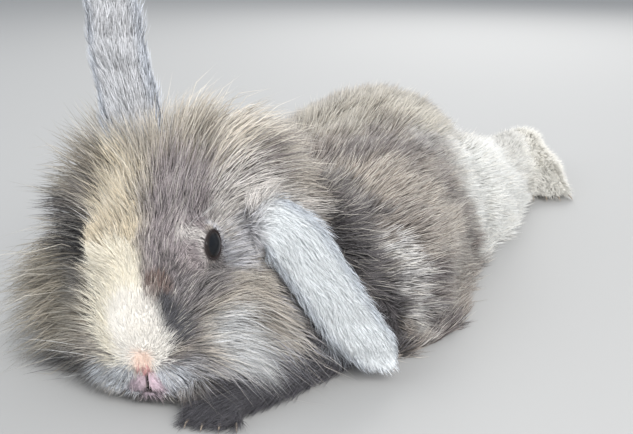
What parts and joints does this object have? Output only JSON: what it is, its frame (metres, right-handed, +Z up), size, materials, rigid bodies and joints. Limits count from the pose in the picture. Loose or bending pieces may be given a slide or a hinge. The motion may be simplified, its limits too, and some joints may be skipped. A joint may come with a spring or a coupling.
{
  "type": "lionhead rabbit",
  "caption": "Lionhead rabbit with a shaggy mane, lying stretched out on its belly with its head low, one ear up and the other hanging.",
  "frame": {"origin": "middle of the flat that the belly rests on, at the floor", "axes": "+Y from head to hind feet (the rabbit faces -Y), +X to the left of the rabbit, +Z up"},
  "size_m": [0.2298, 0.4517, 0.1801],
  "materials": {
    "face_fur": "short dense fur, grey-brown with a cream blaze",
    "eye": "wet, near-black brown",
    "ear_fur": "short silver-grey fur",
    "mane_fur": "long soft wisps, cream with grey bases",
    "body_fur": "medium soft fur, mottled brown-grey with cream ticking",
    "foreleg_fur": "short fuzzy dark-grey fur",
    "haunch_fur": "soft pale cream-grey fur",
    "foot_fur": "short dense cream-white fur",
    "tail_fur": "fluffy grey-white fur"
  },
  "bodies": {
    "root": {"head": "face_fur", "eye_left": "eye", "eye_right": "eye", "ear_left": "ear_fur", "ear_right": "ear_fur", "neck": "mane_fur", "torso": "body_fur", "foreleg_left": "foreleg_fur", "foreleg_right": "foreleg_fur", "hind_leg_left": "haunch_fur", "hind_leg_right": "haunch_fur", "hind_foot_left": "foot_fur", "hind_foot_right": "foot_fur", "tail": "tail_fur"}
  },
  "joints": []
}
